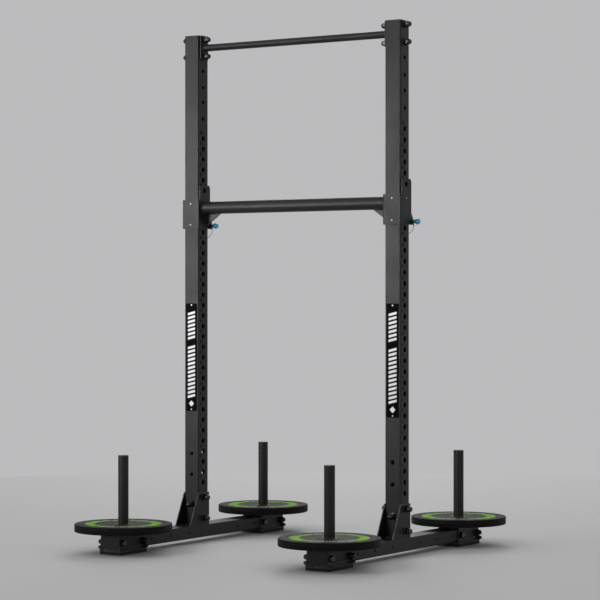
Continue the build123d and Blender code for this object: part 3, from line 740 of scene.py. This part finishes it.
# ---------------------------------------------------------------- weight plates
RING_INNER_R = 0.132            # the coloured ring's inner radius, as in the CAD model
DISC_RECESS = 0.003             # the faces inside the ring lie this much lower
DISC_CORNER = 0.003
DISC_SEGMENTS = 160
DISC_SHARP_ANGLE = math.radians(40)
MOULD_PROUD = 0.0005            # how far the mould line stands out of the wall
MOULD_FOOT_HALF = 0.0014
MOULD_TOP_HALF = 0.0006
LIP_R = 0.0014                  # the roundings beside the ring, above and below
UNDER_LIP_R = 0.0022
GROOVE_FROM_RING = 0.0075
GROOVE_FROM_RIM = 0.0095
GROOVE_HALF = 0.0009
GROOVE_DEPTH = 0.0007
GAP = 0.0002                    # keeps the rubber's edges off the ring's


def disc_profile(half, rim, rim_inner, ring_floor, bore):
    """The rubber disc's closed outline in metres, from the bore up and round to the bore again."""
    wall = rim - MOULD_PROUD
    grooves = (rim_inner + GROOVE_FROM_RING, rim - GROOVE_FROM_RIM)
    upper = [(bore, half - DISC_RECESS), (RING_INNER_R - 2 * GAP, half - DISC_RECESS)]
    upper += [(RING_INNER_R - GAP, half - ring_floor), (rim_inner + GAP, half - ring_floor)]
    upper += arc((rim_inner + LIP_R + GAP, half - LIP_R), LIP_R, 180, 90, 4)
    for groove in grooves:
        upper += [(groove - GROOVE_HALF, half), (groove, half - GROOVE_DEPTH), (groove + GROOVE_HALF, half)]
    upper += arc((wall - DISC_CORNER, half - DISC_CORNER), DISC_CORNER, 90, 0, 6)
    line = [(wall, MOULD_FOOT_HALF), (rim, MOULD_TOP_HALF), (rim, -MOULD_TOP_HALF), (wall, -MOULD_FOOT_HALF)]
    lower = arc((wall - DISC_CORNER, DISC_CORNER - half), DISC_CORNER, 0, -90, 6)
    for groove in grooves[::-1]:
        lower += [(groove + GROOVE_HALF, -half), (groove, GROOVE_DEPTH - half), (groove - GROOVE_HALF, -half)]
    lower += arc((RING_INNER_R + UNDER_LIP_R, UNDER_LIP_R - half), UNDER_LIP_R, -90, -170, 4)
    lower += [(RING_INNER_R - 3 * GAP, DISC_RECESS - half), (bore, DISC_RECESS - half)]
    return upper + line + lower


def plate_disc(corner):
    """The rubber disc with its grooved rim, mould line and dished faces."""
    low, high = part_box(f"plate_rubber_{corner}")
    ring_low, ring_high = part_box(f"plate_ring_{corner}")
    hub_low, hub_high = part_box(f"plate_hub_{corner}")
    profile = disc_profile(
        half=(high.z - low.z) / 2,
        rim=(high.x - low.x) / 2,
        rim_inner=(ring_high.x - ring_low.x) / 2,
        ring_floor=high.z - ring_low.z,
        bore=(hub_high.x - hub_low.x) / 2,
    )
    shape = Shape()
    shape.lathe(profile, DISC_SEGMENTS, Matrix.Translation((low + high) / 2))
    disc = shape.piece(
        f"plate_disc_{corner}", f"weight_plate_{corner}", "plate_rubber", FINISHES["plate_rubber"],
        DISC_SHARP_ANGLE,
    )
    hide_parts(f"plate_rubber_{corner}")


# The marks in the ring: angles in degrees round the plate, from +X, and heights along the radius.
MARK_MIDDLES = (-57, 123)
MARK_HALF_WIDTH = 42
MARKS_FROM_RIM = 0.022          # from the ring's outer edge in to the marks' middle
PANEL_MARGIN = 4                # how far a panel runs past its dashes, at each end
PANEL_TALL = 0.036
PANEL_THICK = 0.0002
DASH_THICK = 0.0003
DASH_WIDTHS = (4.2, 2.6, 3.4, 5.0, 2.6)
DASH_HEIGHTS = (0.020, 0.014, 0.020, 0.017, 0.020)
DASH_GAPS = (2.0, 1.4, 3.6)
BAR_STEP = 1.5                  # degrees between a curved bar's points


def curved_bar(shape, centre, top, thick, radius, angle, width, tall):
    """A flat bar that follows the ring: width in degrees, tall along the radius."""
    steps = max(3, round(width / BAR_STEP))
    outline = []
    for r, order in ((radius - tall / 2, 1), (radius + tall / 2, -1)):
        for step in range(steps + 1)[::order]:
            turn = math.radians(angle + width * step / steps)
            outline.append((r * math.cos(turn), r * math.sin(turn)))
    shape.prism(outline, thick, Matrix.Translation((centre.x, centre.y, top)))


def ring_marks(corner):
    """Two dark panels in the green ring, with short raised dashes on them."""
    low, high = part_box(f"plate_ring_{corner}")
    centre = (low + high) / 2
    radius = (high.x - low.x) / 2 - MARKS_FROM_RIM
    half_panel = MARK_HALF_WIDTH + PANEL_MARGIN
    panels, dashes = Shape(), Shape()
    for mid in MARK_MIDDLES:
        curved_bar(panels, centre, high.z, PANEL_THICK, radius, mid - half_panel, 2 * half_panel, PANEL_TALL)
        angle = mid - MARK_HALF_WIDTH
        number = 0
        while angle < mid + MARK_HALF_WIDTH:
            width = DASH_WIDTHS[number % len(DASH_WIDTHS)]
            tall = DASH_HEIGHTS[number % len(DASH_HEIGHTS)]
            curved_bar(dashes, centre, high.z + PANEL_THICK, DASH_THICK, radius, angle, width, tall)
            angle += width + DASH_GAPS[number % len(DASH_GAPS)]
            number += 1
    body = f"weight_plate_{corner}"
    panels.piece(f"ring_panels_{corner}", body, "plate_ring_green", DARK_PANEL)
    dashes.piece(f"ring_marks_{corner}", body, "plate_ring_green", PALE_INK)


for corner in CORNERS:
    plate_disc(corner)
    ring_marks(corner)


# ---------------------------------------------------------------- name plates and height numbers
PRINT_THICK = 0.00012
BAR_SLANT = 0.010               # how far a bar rises across its width
BAR_HALF_WIDTH = 0.021
# Each group of bars: its lowest bar's middle above the plate's lower edge, and how many.
BAR_GROUPS = ((0.072, 13), (0.352, 7))
BAR_PITCH = 0.0195
BAR_THICK = 0.0115
DIAMOND_RISE = 0.036            # the diamond's middle above the plate's lower edge
DIAMOND_HALF = 0.015


def name_plate_bars(side):
    """Plain slanted bars in two groups, and a small diamond below them."""
    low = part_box(f"name_plate_{side}")[0]
    half, rise = BAR_THICK / 2, BAR_SLANT / 2
    outline = [
        (-BAR_HALF_WIDTH, -half - rise),
        (BAR_HALF_WIDTH, -half + rise),
        (BAR_HALF_WIDTH, half + rise),
        (-BAR_HALF_WIDTH, half - rise),
    ]
    diamond = [(0, -DIAMOND_HALF), (DIAMOND_HALF, 0), (0, DIAMOND_HALF), (-DIAMOND_HALF, 0)]
    shape = Shape()

    def print_at(flat, rise_above):
        place = facing((UPRIGHT_X[side], low.y, low.z + rise_above), (0, -1, 0), (0, 0, 1))
        shape.prism(flat, PRINT_THICK, place)

    for start, count in BAR_GROUPS:
        for number in range(count):
            print_at(outline, start + number * BAR_PITCH)
    print_at(diamond, DIAMOND_RISE)
    shape.piece(f"name_plate_bars_{side}", "frame", "name_plate_face", WHITE_PRINT)


HOLE_COUNT = 34                 # the adjusting holes, as in the CAD model
HOLE_FIRST = 0.287
HOLE_PITCH = 0.05
NUMBER_SIZE = 0.022
NUMBER_Y = -0.0195              # a number stands this far towards the front from its hole
NUMBER_RISE = 0.025             # and this far above it
NUMBER_PROUD = 0.00006
NUMBER_WIDER = 0.0005           # makes the strokes bolder


def text_outline(text):
    """Vertices and faces of a short flat number, about its own middle."""
    data = bpy.data.curves.new("number", "FONT")
    data.body = text
    data.size = NUMBER_SIZE
    data.align_x = "CENTER"
    data.align_y = "CENTER"
    data.extrude = NUMBER_PROUD
    data.offset = NUMBER_WIDER
    data.resolution_u = 2
    holder = bpy.data.objects.new("number", data)
    mesh = bpy.data.meshes.new_from_object(holder)
    points = [vertex.co.copy() for vertex in mesh.vertices]
    faces = [list(face.vertices) for face in mesh.polygons]
    bpy.data.objects.remove(holder)
    bpy.data.meshes.remove(mesh)
    bpy.data.curves.remove(data)
    return points, faces


def height_numbers():
    """A number beside each adjusting hole, on both hole faces of both uprights."""
    shapes = {side: Shape() for side in SIDES}
    for number in range(HOLE_COUNT):
        points, faces = text_outline(str(number + 1))
        z = HOLE_FIRST + number * HOLE_PITCH + NUMBER_RISE
        for side, shape in shapes.items():
            for direction in (-1, 1):
                x = UPRIGHT_X[side] + direction * (HALF_TUBE + NUMBER_PROUD)
                place = facing((x, NUMBER_Y, z), (direction, 0, 0), (0, 0, 1))
                shape.add([place @ point for point in points], faces)
    for side, shape in shapes.items():
        shape.piece(f"height_numbers_{side}", "frame", "black_powder_coat", NUMBER_INK)


for side in SIDES:
    name_plate_bars(side)
height_numbers()


# ---------------------------------------------------------------- knobs
KNOB_NECK_R = 0.0051            # the bore that the pin's end fills
KNOB_BORE_END = -0.002          # where that bore ends, from the ball's middle
KNOB_FOOT_R = 0.0088
KNOB_FOOT_FROM = 0.985          # where the foot begins, against the ball's radius
KNOB_FOOT_CHAMFER = 0.0006
KNOB_FOOT_LENGTH = 0.0016
KNOB_FOOT_MEETS = 0.92          # the ball begins at this part of the foot's radius
KNOB_END_ANGLE = 12             # degrees from the axis to the edge of the end's flat
KNOB_MOULD_HALF = 0.09          # the mould line's half width, against the ball's radius
KNOB_FLAT_R = 0.0012
KNOB_STEPS = 18
KNOB_SEGMENTS = 56
KNOB_SKIN = 0.0001              # keeps the ball inside its CAD box


def knob(side):
    """A ball knob turned on X: a short foot, a mould line and a small flat at its end."""
    low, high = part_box(f"lock_knob_{side}")
    radius = (high.z - low.z) / 2
    foot_x = -radius * KNOB_FOOT_FROM
    profile = [
        (KNOB_NECK_R, foot_x),
        (KNOB_FOOT_R - KNOB_FOOT_CHAMFER, foot_x),
        (KNOB_FOOT_R, foot_x + KNOB_FOOT_CHAMFER),
        (KNOB_FOOT_R, foot_x + KNOB_FOOT_LENGTH),
    ]
    first = 180 - math.degrees(math.asin(KNOB_FOOT_R * KNOB_FOOT_MEETS / radius))
    for step in range(KNOB_STEPS + 1):
        angle = math.radians(first - (first - KNOB_END_ANGLE) * step / KNOB_STEPS)
        on_line = abs(math.cos(angle)) < KNOB_MOULD_HALF
        across = radius if on_line else radius - 3 * KNOB_SKIN
        profile.append((across * math.sin(angle), (radius - KNOB_SKIN) * math.cos(angle)))
    end = (radius - KNOB_SKIN) * math.cos(math.radians(KNOB_END_ANGLE))
    profile += [
        (KNOB_FLAT_R, end + KNOB_SKIN),
        (KNOB_SKIN, end),
        (KNOB_SKIN, KNOB_BORE_END + KNOB_SKIN),
        (KNOB_NECK_R, KNOB_BORE_END - KNOB_SKIN),
    ]
    shape = Shape()
    shape.lathe(profile, KNOB_SEGMENTS, facing((low + high) / 2, (1, 0, 0), (0, 0, 1)))
    ball = shape.piece(f"ball_knob_{side}", f"{side}_lock_pin", "blue_knob", FINISHES["blue_knob"])
    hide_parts(f"lock_knob_{side}")


for side in SIDES:
    knob(side)
finish_cad_nodes()


# ---------------------------------------------------------------- stage: floor, world and lights
FLOOR_RADIUS = 4.6
FLOOR_SEGMENTS = 192
WORLD_GREY = (0.50, 0.50, 0.51, 1)


def area_light(name, place, target, size, power, spread=180):
    """A round light aimed at target; spread is the whole angle of its beam in degrees."""
    data = bpy.data.lights.new(name, "AREA")
    data.spread = math.radians(spread)
    data.shape = "DISK"
    data.size = size
    data.energy = power
    light = bpy.data.objects.new(name, data)
    light.location = place
    light.rotation_euler = (Vector(target) - Vector(place)).to_track_quat("-Z", "Y").to_euler()
    bpy.context.scene.collection.objects.link(light)


def make_stage():
    bpy.context.scene.view_settings.view_transform = "Standard"
    world = bpy.data.worlds.new("studio")
    world.use_nodes = True
    background = world.node_tree.nodes["Background"]
    background.inputs["Color"].default_value = WORLD_GREY
    background.inputs["Strength"].default_value = 1.0
    bpy.context.scene.world = world

    mesh = bpy.data.meshes.new("studio_floor")
    build = bmesh.new()
    bmesh.ops.create_circle(build, cap_ends=True, radius=FLOOR_RADIUS, segments=FLOOR_SEGMENTS)
    build.to_mesh(mesh)
    build.free()
    floor = bpy.data.objects.new("studio_floor", mesh)
    bpy.context.scene.collection.objects.link(floor)
    paint = Finish("pale_floor", {"Specular IOR Level": 0.2})
    cloud = paint.noise(1.2, detail=3)
    colour = paint.mix(cloud, grey(0.60), grey(0.63))
    mesh.materials.append(paint.done(colour, paint.span(cloud, 0.3, 0.7, 0.7, 0.8)))

    area_light("key", (-3.3, -6.6, 1.85), (-0.35, 0, 1.52), 2.0, 8.5, spread=21)
    area_light("soft", (-3.5, -6.0, 6.5), (0, 0, 1.0), 4.0, 85)
    area_light("glint", (4.4, -6.7, 4.2), (0, 0, 1.4), 0.35, 15)
    area_light("rim", (-3.0, 5.5, 4.5), (0, 0, 1.1), 3.5, 100)


make_stage()
